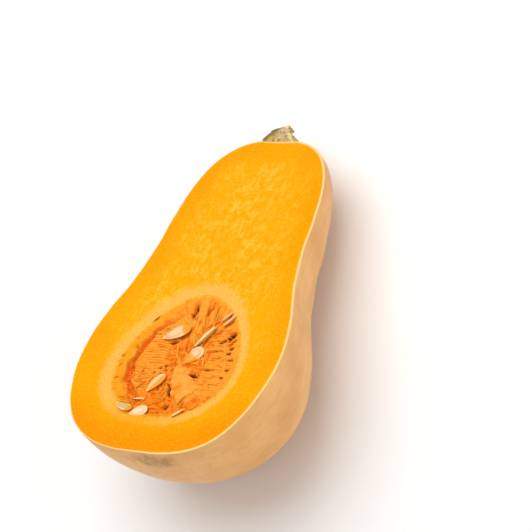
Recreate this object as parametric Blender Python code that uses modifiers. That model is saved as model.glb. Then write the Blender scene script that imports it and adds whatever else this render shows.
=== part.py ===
"""Half a butternut squash, cut lengthwise and lying on its back with the cut face up.

The fruit is turned from a radius profile, bowed a little and split by one flat cut, which bares
its seed cavity. Stringy pulp fills the cavity, with the seeds bedded in it, and half of the corky
stem stub stays on its end.

Everything is modelled with X across the cut face, Y from the blossom end to the stem end and Z out
of the cut. An empty then tips the half onto the two flat spots that it rests on.
"""

import math
import random

import bmesh
import bpy
from mathutils import Matrix, Vector, noise

MM = 0.001
GAP = 0.3 * MM
WELD = 0.01 * MM
SMOOTH_ANGLE = math.radians(40)

# The fruit: its radius and how far its axis lies below the cut, at places along its length
LENGTH = 240 * MM
RADIUS_STATIONS = (
    (12, 46.4),
    (36, 63.6),
    (70, 71),
    (98, 67),
    (125, 58.3),
    (155, 52.7),
    (190, 49.2),
    (222, 38.9),
)
DROP_STATIONS = ((0, -7.5), (24, 6), (50, 14.4), (80, 16), (144, 8.8), (200, 4), (240, 5))
END_ROUNDING = 0.35

# The blossom end leans: it reaches further on the +X side, which fades out up the bulb
END_LEAN = 0.05
END_REACH = 0.75 * MM
END_FADE = 55 * MM
FRUIT_SIDES = 56
FRUIT_RINGS = 36

# The flat spots under the bulb and the neck
WAIST = 140 * MM
FLAT_DEPTH = 0.7 * MM
STEEPEST_TILT = math.radians(30)
TILT_STEP = 1e-6
BACK_SAMPLES = 400

# The egg-shaped seed cavity, turned about the fruit's axis and widest towards the blossom end
CAVITY_CENTRE = Vector((1.2, 70.8, -15)) * MM
CAVITY_RADII = Vector((43.2, 49.2, 43.2)) * MM
CAVITY_TAPER = 0.235
CAVITY_SIDES = 36
CAVITY_RINGS = 20

# The pulp's surface lies this far below the cut, with a deeper groove inside the rim
PULP_DEPTH = 2.4 * MM
GROOVE_DEPTH = 3.4 * MM
GROOVE_PLACE = 0.8
GROOVE_WIDTH = 0.13
PULP_ROUGHNESS = 1.1 * MM
LUMP_SPACING = 9 * MM
PULP_CELL = 4.2 * MM

# Pulp strands, with their middles' lift above the pulp in millimetres
STRAND_RADIUS = 1.0 * MM
STRAND_TAPER = 0.3
STRAND_BED = 0.3

# A fan of long strands from an arc along the cavity's top down to where they meet
FAN_COUNT = 11
FAN_ARC = {"left": -17, "width": 45, "top": 112, "sag": 20, "crown": 0.4}
FAN_MEETS = Vector((8, 71))
FAN_SPREAD = {"x": (-7, 7), "y": (-6, 8)}
FAN_BOW = 3
FAN_LIFT = 1.1

# Combs of short strands along both sides, from a share of the half width in to another
COMB_SPACING = 4.3
COMB_RANGE = (42, 92)
COMB_START = 0.9
COMB_ENDS = {-1: (0.22, 0.4), 1: (0.5, 0.62)}
COMB_SLOPE = 1.6
COMB_BED = 0.25

# A tangle of curling strands in the lower part
TANGLE_COUNT = 13
TANGLE_AREA = {"x": (-20, 22), "y": (29, 58)}
TANGLE_BEND = 0.6
TANGLE_LENGTH = (11, 19)

# The smooth patch that the seeds were joined to
PLACENTA_PLACE = Vector((10, 50.5)) * MM
PLACENTA_RADII = Vector((15.5, 7.2, 3)) * MM
PLACENTA_TAPER = 0.3
PLACENTA_HEADING = 121
PLACENTA_SINK = 0.6 * MM

# Seeds: where each lies, its heading, how far it is rolled onto its edge, and its size
SEED_SIZE = Vector((17.5, 9.2, 2.8)) * MM
SEED_TIP_TAPER = 0.34
SEED_LIFT = 0.6 * MM
SEEDS = (
    {"at": (-7.9, 85.2), "heading": 209, "roll": 12, "size": 1.09},
    {"at": (12.3, 83.8), "heading": 240, "roll": 80, "size": 1.02},
    {"at": (21.2, 99.2), "heading": 55, "roll": 82, "size": 0.5},
    {"at": (24.2, 96.6), "heading": 57, "roll": 82, "size": 0.62},
    {"at": (10.2, 69.6), "heading": 235, "roll": -10, "size": 0.84},
    {"at": (-6.8, 48.6), "heading": 240, "roll": 34, "size": 0.86},
    {"at": (-14.5, 38.8), "heading": 2, "roll": 80, "size": 0.58},
    {"at": (-20.7, 30), "heading": 160, "roll": 28, "size": 0.7},
    {"at": (-10, 27.9), "heading": 203, "roll": -8, "size": 0.68},
    {"at": (17.2, 28.6), "heading": 44, "roll": 80, "size": 0.54},
)

# The corky stem stub: its radius at heights above the fruit's end
STEM_STATIONS = ((-5, 12.6), (1, 12), (3.5, 9.4), (7, 6.9), (9.8, 6.2), (11.2, 4.7))
STEM_SIDES = 25
STEM_FLUTES = 5
STEM_FLUTE_DEPTH = 0.13
STEM_FLUTE_PHASE = math.radians(90)
STEM_RINGS = 8
STEM_LEAN = -0.16
STEM_SLANT = 0.3
STEM_DROP = 1.5 * MM
KNOB_HEIGHT = 0.8 * MM
KNOB_SPACING = 5 * MM

# Base colours with roughness
PEEL_COLOR = (0.79, 0.45, 0.19, 1)
FLESH_COLOR = (1.0, 0.40, 0.01, 1)
PULP_COLOR = (0.95, 0.26, 0.02, 1)
SEED_COLOR = (0.88, 0.74, 0.50, 1)
STEM_COLOR = (0.56, 0.47, 0.27, 1)


def clear_scene():
    for item in list(bpy.data.objects):
        bpy.data.objects.remove(item, do_unlink=True)


def new_collection(name, hidden=False):
    collection = bpy.data.collections.new(name)
    bpy.context.scene.collection.children.link(collection)
    collection.hide_render = hidden
    return collection


def finish(name, color, roughness):
    material = bpy.data.materials.new(name)
    material.use_nodes = True
    shader = material.node_tree.nodes["Principled BSDF"]
    shader.inputs["Base Color"].default_value = color
    shader.inputs["Roughness"].default_value = roughness
    material.diffuse_color = color
    return material


def place_object(name, mesh, collection, material):
    item = bpy.data.objects.new(name, mesh)
    item.data.materials.clear()
    item.data.materials.append(material)
    collection.objects.link(item)
    return item


def mesh_from(build):
    mesh = bpy.data.meshes.new("shape")
    build.to_mesh(mesh)
    build.free()
    return mesh


def through(stations, place):
    """A smooth curve through (place, value) stations, both in millimetres, read at a place in metres."""
    at = place / MM
    steps = [(b[1] - a[1]) / (b[0] - a[0]) for a, b in zip(stations, stations[1:])]
    slopes = [steps[0]] + [(a + b) / 2 for a, b in zip(steps, steps[1:])] + [steps[-1]]
    last = len(stations) - 2
    index = max((i for i in range(last + 1) if stations[i][0] <= at), default=0)
    start, end = stations[index], stations[index + 1]
    span = end[0] - start[0]
    part = (at - start[0]) / span
    if not 0 <= part <= 1:
        nearest, slope = (start, slopes[0]) if part < 0 else (end, slopes[-1])
        return (nearest[1] + slope * (at - nearest[0])) * MM
    rise = part * part * (3 - 2 * part)
    bend = span * (slopes[index] * part * (1 - part) ** 2 - slopes[index + 1] * part * part * (1 - part))
    return (start[1] + (end[1] - start[1]) * rise + bend) * MM


def end_rounding(place):
    share = min(max(place / LENGTH, 0), 1)
    return (4 * share * (1 - share)) ** END_ROUNDING


FULLNESS = tuple((place, radius / end_rounding(place * MM)) for place, radius in RADIUS_STATIONS)


def fruit_radius(place):
    return through(FULLNESS, place) * end_rounding(place)


def axis_drop(place):
    return through(DROP_STATIONS, place)


def end_lean(point):
    """How far the leaning blossom end carries a point of the fruit towards -Y."""
    share = min(max(1 - point.y / END_FADE, 0), 1)
    return (END_REACH + END_LEAN * point.x) * share * share * (3 - 2 * share)


def back_depth(place):
    """How far the fruit's back lies below the cut plane."""
    return fruit_radius(place) + axis_drop(place)


def lowest_when_tipped(tilt, start, end):
    places = [start + (end - start) * i / BACK_SAMPLES for i in range(BACK_SAMPLES + 1)]
    return min(-back_depth(p) * math.cos(tilt) - p * math.sin(tilt) for p in places)


def resting_tilt():
    """The tilt, stem end down, that brings the bulb and the neck down to one level."""
    low, high = 0.0, STEEPEST_TILT
    while high - low > TILT_STEP:
        tilt = (low + high) / 2
        if lowest_when_tipped(tilt, 0, WAIST) < lowest_when_tipped(tilt, WAIST, LENGTH):
            low = tilt
        else:
            high = tilt
    return (low + high) / 2


def turned(name, profile, sides):
    """A solid turned about Y, from a profile of (radius, place) that starts at the +Y end."""
    build = bmesh.new()
    points = [build.verts.new((radius, 0, place)) for radius, place in profile]
    for start, end in zip(points, points[1:]):
        build.edges.new((start, end))
    item = bpy.data.objects.new(name, mesh_from(build))
    bpy.context.scene.collection.objects.link(item)
    screw = item.modifiers.new("turn", "SCREW")
    screw.axis = "Z"
    screw.steps = sides
    screw.render_steps = sides
    screw.use_merge_vertices = True
    screw.merge_threshold = WELD
    bpy.context.view_layer.update()
    mesh = bpy.data.meshes.new_from_object(item.evaluated_get(bpy.context.evaluated_depsgraph_get()))
    bpy.data.objects.remove(item, do_unlink=True)
    mesh.transform(Matrix.Rotation(math.radians(-90), 4, "X"))
    return mesh


def fruit_mesh(margin=0.0):
    """The whole fruit, with its skin moved out by a margin."""
    profile = []
    for ring in range(FRUIT_RINGS + 1):
        swing = math.cos(math.pi * ring / FRUIT_RINGS)
        place = LENGTH * (1 + swing) / 2
        on_axis = ring in (0, FRUIT_RINGS)
        radius = 0 if on_axis else fruit_radius(place) + margin
        profile.append((radius, place + margin * swing))
    mesh = turned("fruit", profile, FRUIT_SIDES)
    for vertex in mesh.vertices:
        vertex.co.z -= axis_drop(vertex.co.y)
        vertex.co.y -= end_lean(vertex.co)
    return mesh


def egg_mesh(shrink=0.0):
    """The cavity's egg, with its wall moved in by shrink."""
    build = bmesh.new()
    bmesh.ops.create_uvsphere(build, u_segments=CAVITY_SIDES, v_segments=CAVITY_RINGS, radius=1)
    bmesh.ops.rotate(build, matrix=Matrix.Rotation(math.radians(90), 3, "X"), verts=build.verts)
    for vertex in build.verts:
        slim = 1 - CAVITY_TAPER * vertex.co.y
        radii = CAVITY_RADII * Vector((slim, 1, slim)) - Vector((shrink, shrink, shrink))
        vertex.co = CAVITY_CENTRE + vertex.co * radii
    return mesh_from(build)


def box_mesh(low, high):
    build = bmesh.new()
    bmesh.ops.create_cube(build, size=1)
    for vertex in build.verts:
        share = vertex.co + Vector((0.5, 0.5, 0.5))
        vertex.co = Vector(low) + share * (Vector(high) - Vector(low))
    return mesh_from(build)


def boolean(item, operation, other, solver="EXACT"):
    modifier = item.modifiers.new(operation.lower(), "BOOLEAN")
    modifier.operation = operation
    modifier.solver = solver
    modifier.material_mode = "TRANSFER"
    modifier.object = other
    return modifier


def cutter(name, mesh, material):
    item = place_object(name, mesh, cutters, material)
    item.hide_render = True
    item.display_type = "WIRE"
    return item


def apply_modifiers(item):
    bpy.context.view_layer.update()
    mesh = bpy.data.meshes.new_from_object(item.evaluated_get(bpy.context.evaluated_depsgraph_get()))
    item.modifiers.clear()
    item.data = mesh


def keep_main_body(item):
    """Drops loose scraps and the walls of sealed pockets, which leaves one solid."""
    build = bmesh.new()
    build.from_mesh(item.data)
    unseen = set(build.verts)
    bodies = []
    while unseen:
        front = [unseen.pop()]
        body = set(front)
        while front:
            vertex = front.pop()
            neighbours = {edge.other_vert(vertex) for edge in vertex.link_edges} & unseen
            unseen -= neighbours
            body |= neighbours
            front += neighbours
        bodies.append(body)
    largest = max(bodies, key=len)
    scraps = [vertex for vertex in build.verts if vertex not in largest]
    bmesh.ops.delete(build, geom=scraps, context="VERTS")
    build.to_mesh(item.data)
    build.free()


def cavity_share(x, y):
    """How far out of the cavity's mouth a place lies: 0 at its centre and 1 at its rim."""
    mouth = math.sqrt(1 - (CAVITY_CENTRE.z / CAVITY_RADII.z) ** 2)
    along = (y - CAVITY_CENTRE.y) / (CAVITY_RADII.y * mouth)
    across = (x - CAVITY_CENTRE.x) / (CAVITY_RADII.x * mouth * (1 - CAVITY_TAPER * along))
    return math.hypot(along, across)


def pulp_height(x, y):
    """The pulp's surface: a shallow bed with a groove inside the rim, and lumpy all over."""
    groove = math.exp(-(((cavity_share(x, y) - GROOVE_PLACE) / GROOVE_WIDTH) ** 2))
    lumps = noise.noise(Vector((x, y, 0)) / LUMP_SPACING)
    return -PULP_DEPTH - GROOVE_DEPTH * groove + PULP_ROUGHNESS * lumps


def relief_block():
    """Everything above the pulp's surface, as a block whose underside has the pulp's relief."""
    reach_x = CAVITY_RADII.x * (1 + CAVITY_TAPER) + PULP_CELL
    reach_y = CAVITY_RADII.y + PULP_CELL
    columns = round(2 * reach_x / PULP_CELL)
    rows = round(2 * reach_y / PULP_CELL)
    build = bmesh.new()
    bmesh.ops.create_grid(build, x_segments=columns, y_segments=rows, size=1)
    for vertex in build.verts:
        x = CAVITY_CENTRE.x + vertex.co.x * reach_x
        y = CAVITY_CENTRE.y + vertex.co.y * reach_y
        vertex.co = Vector((x, y, pulp_height(x, y)))
    raised = bmesh.ops.extrude_face_region(build, geom=list(build.faces))
    for element in raised["geom"]:
        if isinstance(element, bmesh.types.BMVert):
            element.co.z = CAVITY_RADII.z
    bmesh.ops.recalc_face_normals(build, faces=build.faces)
    return mesh_from(build)


def strand(points, radius):
    """A tapering strand through (x, y, lift) points in millimetres, with lift above the pulp's surface."""
    curve = bpy.data.curves.new("strand", "CURVE")
    curve.dimensions = "3D"
    curve.bevel_depth = radius
    curve.bevel_resolution = 0
    curve.use_fill_caps = True
    spline = curve.splines.new("POLY")
    spline.points.add(len(points) - 1)
    for index, point in enumerate(points):
        x, y, lift = Vector(point) * MM
        spline.points[index].co = (x, y, pulp_height(x, y) + lift, 1)
        spline.points[index].radius = 1 - STRAND_TAPER * index / (len(points) - 1)
    guide = bpy.data.objects.new("strand", curve)
    bpy.context.scene.collection.objects.link(guide)
    bpy.context.view_layer.update()
    mesh = bpy.data.meshes.new_from_object(guide.evaluated_get(bpy.context.evaluated_depsgraph_get()))
    bpy.data.objects.remove(guide, do_unlink=True)
    build = bmesh.new()
    build.from_mesh(mesh)
    bmesh.ops.remove_doubles(build, verts=build.verts, dist=WELD)
    bmesh.ops.recalc_face_normals(build, faces=build.faces)
    return mesh_from(build)


def fan_strands(draw):
    """Long strands that run from the cavity's top down to where they meet near its middle."""
    for number in range(FAN_COUNT):
        share = number / (FAN_COUNT - 1)
        below_crown = FAN_ARC["sag"] * abs(share - FAN_ARC["crown"]) ** 1.5
        start = Vector((FAN_ARC["left"] + FAN_ARC["width"] * share, FAN_ARC["top"] - below_crown))
        end = FAN_MEETS + Vector((draw.uniform(*FAN_SPREAD["x"]), draw.uniform(*FAN_SPREAD["y"])))
        bow = Vector((draw.uniform(-FAN_BOW, FAN_BOW), 0))
        points = []
        for part in (0, 0.3, 0.65, 1):
            wave = math.sin(math.pi * part)
            place = start.lerp(end, part) + bow * wave
            points.append((place.x, place.y, STRAND_BED + FAN_LIFT * wave))
        yield points, STRAND_RADIUS * draw.uniform(0.85, 1.25)


def comb_strands(draw):
    """Short strands that run in from the cavity's two sides, one beside the other."""
    place = COMB_RANGE[0]
    while place < COMB_RANGE[1]:
        along = (place * MM - CAVITY_CENTRE.y) / CAVITY_RADII.y
        half = CAVITY_RADII.x / MM * (1 - CAVITY_TAPER * along) * math.sqrt(1 - along * along)
        for side, ends in COMB_ENDS.items():
            inner = draw.uniform(*ends)
            slope = draw.uniform(-COMB_SLOPE, COMB_SLOPE)
            points = []
            for part in (0, 0.5, 1):
                x = CAVITY_CENTRE.x / MM + side * half * (COMB_START + (inner - COMB_START) * part)
                points.append((x, place + slope * part, COMB_BED))
            yield points, STRAND_RADIUS * draw.uniform(0.8, 1.1)
        place += COMB_SPACING * draw.uniform(0.9, 1.1)


def tangle_strands(draw):
    """Curling strands in the lower part of the cavity."""
    for _ in range(TANGLE_COUNT):
        centre = Vector((draw.uniform(*TANGLE_AREA["x"]), draw.uniform(*TANGLE_AREA["y"])))
        turn = draw.uniform(0, 2 * math.pi)
        bend = draw.uniform(-TANGLE_BEND, TANGLE_BEND)
        length = draw.uniform(*TANGLE_LENGTH)
        points = []
        for part in (-0.5, -0.17, 0.17, 0.5):
            heading = turn + bend * part
            place = centre + Vector((math.cos(heading), math.sin(heading))) * length * part
            points.append((place.x, place.y, STRAND_BED))
        yield points, STRAND_RADIUS * draw.uniform(0.8, 1.15)


def ellipsoid(radii, taper, segments, rings):
    """A rounded body along X, slimmer towards its +X tip."""
    build = bmesh.new()
    bmesh.ops.create_uvsphere(build, u_segments=segments, v_segments=rings, radius=1)
    bmesh.ops.rotate(build, matrix=Matrix.Rotation(math.radians(90), 3, "Y"), verts=build.verts)
    for vertex in build.verts:
        slim = 1 - taper * vertex.co.x
        vertex.co = vertex.co * Vector((1, slim, slim)) * radii
    return build


def seed_mesh(seed):
    build = ellipsoid(SEED_SIZE * seed["size"] / 2, SEED_TIP_TAPER, 10, 7)
    x, y = (value * MM for value in seed["at"])
    roll = math.radians(seed["roll"])
    stand = SEED_SIZE.y * seed["size"] * abs(math.sin(roll)) / 4
    turn = Matrix.Rotation(math.radians(seed["heading"]), 4, "Z") @ Matrix.Rotation(roll, 4, "X")
    place = Matrix.Translation((x, y, pulp_height(x, y) + SEED_LIFT + stand))
    bmesh.ops.transform(build, matrix=place @ turn, verts=build.verts)
    return mesh_from(build)


def placenta_mesh():
    build = ellipsoid(PLACENTA_RADII, PLACENTA_TAPER, 12, 8)
    x, y = PLACENTA_PLACE
    place = Matrix.Translation((x, y, pulp_height(x, y) - PLACENTA_SINK))
    turn = Matrix.Rotation(math.radians(PLACENTA_HEADING), 4, "Z")
    bmesh.ops.transform(build, matrix=place @ turn, verts=build.verts)
    return mesh_from(build)


def make_pulp():
    """The pulp's core with its strands and seeds fused on, kept clear of the cavity's wall."""
    pulp = place_object("seed_pulp", egg_mesh(GAP), parts, pulp_finish)
    boolean(pulp, "DIFFERENCE", cutter("above_pulp", relief_block(), pulp_finish))
    apply_modifiers(pulp)
    repeats = new_collection("pulp_repeats", hidden=True)
    place_object("placenta", placenta_mesh(), repeats, pulp_finish)
    draw = random.Random(7)
    for source in (fan_strands, comb_strands, tangle_strands):
        for points, radius in source(draw):
            place_object("strand", strand(points, radius), repeats, pulp_finish)
    for seed in SEEDS:
        place_object("seed", seed_mesh(seed), repeats, seed_finish)
    join = pulp.modifiers.new("join", "BOOLEAN")
    join.operation = "UNION"
    join.solver = "MANIFOLD"
    join.material_mode = "TRANSFER"
    join.operand_type = "COLLECTION"
    join.collection = repeats
    apply_modifiers(pulp)
    for item in list(repeats.objects):
        bpy.data.objects.remove(item, do_unlink=True)
    bpy.data.collections.remove(repeats)
    boolean(pulp, "INTERSECT", cutter("pulp_room", egg_mesh(GAP), pulp_finish), "MANIFOLD")
    apply_modifiers(pulp)
    keep_main_body(pulp)
    return pulp


def make_squash(above_cut):
    squash = place_object("squash_half", fruit_mesh(), parts, peel_finish)
    boolean(squash, "DIFFERENCE", above_cut)
    boolean(squash, "DIFFERENCE", cutter("seed_cavity", egg_mesh(), flesh_finish))
    return squash


def make_stem(above_cut):
    """A fluted, leaning stub that sits on the fruit's end and is split by the same cut."""
    foot, top = STEM_STATIONS[0][0], STEM_STATIONS[-1][0]
    heights = [top + (foot - top) * ring / STEM_RINGS for ring in range(STEM_RINGS + 1)]
    side = [(through(STEM_STATIONS, height * MM), LENGTH + height * MM) for height in heights]
    profile = [(0, side[0][1]), *side, (0, side[-1][1])]
    mesh = turned("stem", profile, STEM_SIDES)
    for vertex in mesh.vertices:
        angle = math.atan2(vertex.co.z, vertex.co.x)
        flute = 1 + STEM_FLUTE_DEPTH * math.cos(STEM_FLUTES * angle + STEM_FLUTE_PHASE)
        height = vertex.co.y - LENGTH
        knob = KNOB_HEIGHT * noise.noise(vertex.co / KNOB_SPACING)
        vertex.co.y += knob + STEM_SLANT * vertex.co.x * max(height, 0) / (top * MM)
        vertex.co.x = vertex.co.x * flute + STEM_LEAN * height + knob
        vertex.co.z = vertex.co.z * flute - STEM_DROP
    stem = place_object("stem_stub", mesh, parts, stem_finish)
    boolean(stem, "DIFFERENCE", above_cut)
    boolean(stem, "DIFFERENCE", cutter("fruit_end", fruit_mesh(GAP), stem_finish))
    return stem


def world_bounds(items):
    bpy.context.view_layer.update()
    graph = bpy.context.evaluated_depsgraph_get()
    corners = []
    for item in items:
        evaluated = item.evaluated_get(graph)
        corners += [evaluated.matrix_world @ vertex.co for vertex in evaluated.data.vertices]
    low = Vector([min(corner[axis] for corner in corners) for axis in range(3)])
    high = Vector([max(corner[axis] for corner in corners) for axis in range(3)])
    return low, high


clear_scene()
parts = new_collection("butternut_squash_half")
cutters = new_collection("cutters", hidden=True)
peel_finish = finish("peel", PEEL_COLOR, 0.45)
flesh_finish = finish("flesh", FLESH_COLOR, 0.5)
pulp_finish = finish("pulp", PULP_COLOR, 0.4)
seed_finish = finish("seed", SEED_COLOR, 0.45)
stem_finish = finish("stem", STEM_COLOR, 0.85)

above_cut_box = box_mesh((-LENGTH, -LENGTH, 0), (LENGTH, 2 * LENGTH, LENGTH))
above = cutter("above_cut", above_cut_box, flesh_finish)
squash_half = make_squash(above)
seed_pulp = make_pulp()
stem_stub = make_stem(above)

# The half is tipped stem end down and let into the surface by the depth of its flat spots
rest_pose = bpy.data.objects.new("rest_pose", None)
parts.objects.link(rest_pose)
for piece in list(parts.objects) + list(cutters.objects):
    if piece is not rest_pose:
        piece.parent = rest_pose
tilt = resting_tilt()
rest_pose.rotation_euler.x = -tilt
rest_pose.location.z = -lowest_when_tipped(tilt, 0, LENGTH) - FLAT_DEPTH
below_surface_box = box_mesh((-LENGTH, -2 * LENGTH, -LENGTH), (LENGTH, 2 * LENGTH, 0))
boolean(squash_half, "DIFFERENCE", cutter("below_surface", below_surface_box, peel_finish))

# Last, the origin comes to the middle of the footprint
lowest, highest = world_bounds((squash_half, seed_pulp, stem_stub))
rest_pose.location.x -= (lowest.x + highest.x) / 2
rest_pose.location.y -= (lowest.y + highest.y) / 2

for piece in (squash_half, seed_pulp, stem_stub):
    piece.data.shade_smooth()
    piece.data.set_sharp_from_angle(angle=SMOOTH_ANGLE)
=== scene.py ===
"""Finish of half a butternut squash: rind and flesh, stringy pulp, seeds and the corky stem stub."""

import math
import random

import bmesh
import bpy
from mathutils import Matrix, Vector, kdtree, noise


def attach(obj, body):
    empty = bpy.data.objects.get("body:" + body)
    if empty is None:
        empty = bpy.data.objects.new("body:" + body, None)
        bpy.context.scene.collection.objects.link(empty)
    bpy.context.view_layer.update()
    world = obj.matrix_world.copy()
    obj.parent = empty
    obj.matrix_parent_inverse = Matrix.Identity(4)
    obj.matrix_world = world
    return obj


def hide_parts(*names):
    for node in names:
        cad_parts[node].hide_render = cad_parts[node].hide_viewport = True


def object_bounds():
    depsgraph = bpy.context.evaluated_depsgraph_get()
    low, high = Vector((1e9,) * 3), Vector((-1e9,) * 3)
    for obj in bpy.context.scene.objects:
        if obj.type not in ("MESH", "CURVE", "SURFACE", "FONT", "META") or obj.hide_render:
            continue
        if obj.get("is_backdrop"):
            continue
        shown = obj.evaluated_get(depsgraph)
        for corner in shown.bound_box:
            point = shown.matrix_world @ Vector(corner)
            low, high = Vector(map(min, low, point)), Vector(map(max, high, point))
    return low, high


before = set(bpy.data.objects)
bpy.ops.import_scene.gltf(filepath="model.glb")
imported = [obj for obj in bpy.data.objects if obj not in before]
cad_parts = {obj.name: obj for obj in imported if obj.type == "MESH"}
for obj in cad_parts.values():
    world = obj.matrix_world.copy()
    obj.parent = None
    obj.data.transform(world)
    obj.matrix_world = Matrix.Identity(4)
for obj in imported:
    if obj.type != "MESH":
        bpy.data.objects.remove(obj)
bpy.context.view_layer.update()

# Rind and flesh
# The fruit itself, grown as one piece: a thin hard waxy rind over dense orange flesh. One straight
# knife cut bares the flesh and opens the seed cavity, and the back lies on two small flats.
MM = 0.001
FRUIT_LENGTH = 240 * MM
STEM_END_SHY = 0.22 * MM
FRUIT_RADII = ((12, 46.4), (36, 63.6), (70, 71), (98, 67), (125, 58.3), (155, 52.7), (190, 49.2), (222, 38.9))
AXIS_DROPS = ((0, -7.5), (24, 6), (50, 14.4), (80, 16), (144, 8.8), (200, 4), (240, 5))
END_ROUNDING = 0.35
END_LEAN = 0.05
END_REACH = 0.75 * MM
END_FADE = 55 * MM
STEM_DIP = 1.1 * MM
TIP_START = 0.3 * MM
RIND_SIDES = 168
RIND_RINGS = 140
FLESH_ROWS = 44
CAVITY_ROWS = 9
FIRST_WALL_ROW = 4
CAVITY_CENTRE = Vector((1.2, 70.8, -15)) * MM
CAVITY_RADII = Vector((43.2, 49.2, 43.2)) * MM
CAVITY_TAPER = 0.235
CAVITY_FLOOR = CAVITY_CENTRE.z - CAVITY_RADII.z
MOUTH_POINTS = 720
RIND_LUMPS = 0.7 * MM
OUTLINE_LUMPS = 0.45 * MM
EDGE_ROUNDING = 0.3 * MM
ON_CUT = 0.01 * MM
RING_WIDTH = 6
RING_GAP = {"heading": 258, "spread": 24}
SCAR = {"x": 9, "z": -8, "wide": 17, "high": 8}


def read_cut(solid):
    """The cut's axes in the frame, with their origin at the blossom end's pole."""
    planes = {}
    for face in solid.data.polygons:
        key = tuple(round(value, 3) for value in face.normal)
        planes.setdefault(key, []).append(face)
    faces = max(planes.values(), key=lambda plane: sum(face.area for face in plane))
    out = sum((face.normal * face.area for face in faces), Vector()).normalized()
    along = Vector((0, out.z, -out.y))
    corners = [solid.data.vertices[index].co for face in faces for index in face.vertices]
    height = sum(corner.dot(out) for corner in corners) / len(corners)
    start = max(corner.dot(along) for corner in corners) - (FRUIT_LENGTH - STEM_END_SHY)
    axes = Matrix((Vector((1, 0, 0)), along, out)).transposed().to_4x4()
    axes.translation = along * start + out * height
    return axes


CUT = read_cut(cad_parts["squash_half"])


def ease(value, start, end):
    """0 before start and 1 after end, with a smooth rise between them."""
    share = min(max((value - start) / (end - start), 0), 1)
    return share * share * (3 - 2 * share)


def curve_through(stations, place):
    """A smooth curve through (place, value) stations in millimetres."""
    at = place / MM
    steps = [(b[1] - a[1]) / (b[0] - a[0]) for a, b in zip(stations, stations[1:])]
    slopes = [steps[0]] + [(a + b) / 2 for a, b in zip(steps, steps[1:])] + [steps[-1]]
    index = max((i for i in range(len(stations) - 1) if stations[i][0] <= at), default=0)
    start, end = stations[index], stations[index + 1]
    span = end[0] - start[0]
    part = (at - start[0]) / span
    if part < 0:
        return (start[1] + slopes[0] * (at - start[0])) * MM
    if part > 1:
        return (end[1] + slopes[-1] * (at - end[0])) * MM
    rise = part * part * (3 - 2 * part)
    bend = span * (slopes[index] * part * (1 - part) ** 2 - slopes[index + 1] * part * part * (1 - part))
    return (start[1] + (end[1] - start[1]) * rise + bend) * MM


def end_rounding(place):
    share = min(max(place / FRUIT_LENGTH, 0), 1)
    return (4 * share * (1 - share)) ** END_ROUNDING


FULLNESS = tuple((place, radius / end_rounding(place * MM)) for place, radius in FRUIT_RADII)


def rind_point(vertex):
    """Where a vertex of the unit ball's lower half lies on the rind."""
    place = TIP_START + (FRUIT_LENGTH - 2 * TIP_START) * (vertex.y + 1) / 2
    across = math.hypot(vertex.x, vertex.z)
    radius = curve_through(FULLNESS, place) * end_rounding(place)
    drop = curve_through(AXIS_DROPS, place)
    opening = math.asin(max(-1, min(1, drop / radius)))
    around = -math.acos(max(-1, min(1, vertex.x / max(across, 0.0001))))
    swing = -math.pi / 2 + (around + math.pi / 2) * (1 + 2 * opening / math.pi)
    below_cut = ease(-math.sin(around), 0.0, 0.25)
    lumps = noise.noise(Vector((math.cos(swing) * 1.5, math.sin(swing) * 1.5, place / (60 * MM))))
    ripple = noise.noise(Vector((math.cos(swing) * 3, 7, place / (16 * MM))))
    shape = ease(radius / MM, 10, 40)
    radius += (RIND_LUMPS * lumps * below_cut + OUTLINE_LUMPS * ripple) * shape
    if across < 0.0001:
        radius = 0
    point = Vector((radius * math.cos(swing), place, radius * math.sin(swing) - drop))
    fade = ease(place, END_FADE, 0)
    point.y -= (END_REACH + END_LEAN * point.x) * fade
    if place > FRUIT_LENGTH / 2:
        point.y -= STEM_DIP * ease(radius / MM, 14, 9)
    return point


def cavity_reach(angle, height, shrink=0.0):
    """How far the cavity's wall lies from the cavity's middle, in one direction at one height."""
    near, far = 0.0, 2 * CAVITY_RADII.y
    for _ in range(24):
        middle = (near + far) / 2
        along = middle * math.sin(angle) / (CAVITY_RADII.y - shrink)
        wide = (CAVITY_RADII.x - shrink) * max(1 - CAVITY_TAPER * along, 0.01)
        across = middle * math.cos(angle) / wide
        up = (height - CAVITY_CENTRE.z) / wide
        if along * along + across * across + up * up < 1:
            near = middle
        else:
            far = middle
    return near


def cavity_angle(place):
    return math.atan2(place.y - CAVITY_CENTRE.y, place.x - CAVITY_CENTRE.x) % (2 * math.pi)


def wall_point(angle, height, shrink=0.0):
    """The place on the cavity's wall in one direction at one height."""
    reach = cavity_reach(angle, height, shrink)
    x, y = reach * math.cos(angle), reach * math.sin(angle)
    return Vector((CAVITY_CENTRE.x + x, CAVITY_CENTRE.y + y, height))


def down_wall(row, top=0.0, shrink=0.0):
    """A move that takes a rim to one of the cavity wall's rings, which lies no higher than top."""
    height = CAVITY_CENTRE.z + CAVITY_RADII.z * math.cos(math.pi * row / (CAVITY_ROWS + 1))
    return lambda place: wall_point(cavity_angle(place), min(height, top), shrink)


def deselect():
    bpy.ops.object.select_all(action="DESELECT")


def select_only(piece):
    deselect()
    piece.select_set(True)
    bpy.context.view_layer.objects.active = piece


def edit(piece):
    select_only(piece)
    bpy.ops.object.mode_set(mode="EDIT")
    bpy.ops.mesh.select_mode(type="VERT")
    bpy.ops.mesh.select_all(action="DESELECT")


def leave_edit():
    bpy.ops.object.mode_set(mode="OBJECT")


def select_where(piece, test):
    """Selects the vertices that pass a test, and what lies between them."""
    edit(piece)
    build = bmesh.from_edit_mesh(piece.data)
    for vertex in build.verts:
        vertex.select = test(vertex)
    build.select_flush_mode()
    bmesh.update_edit_mesh(piece.data)


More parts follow.
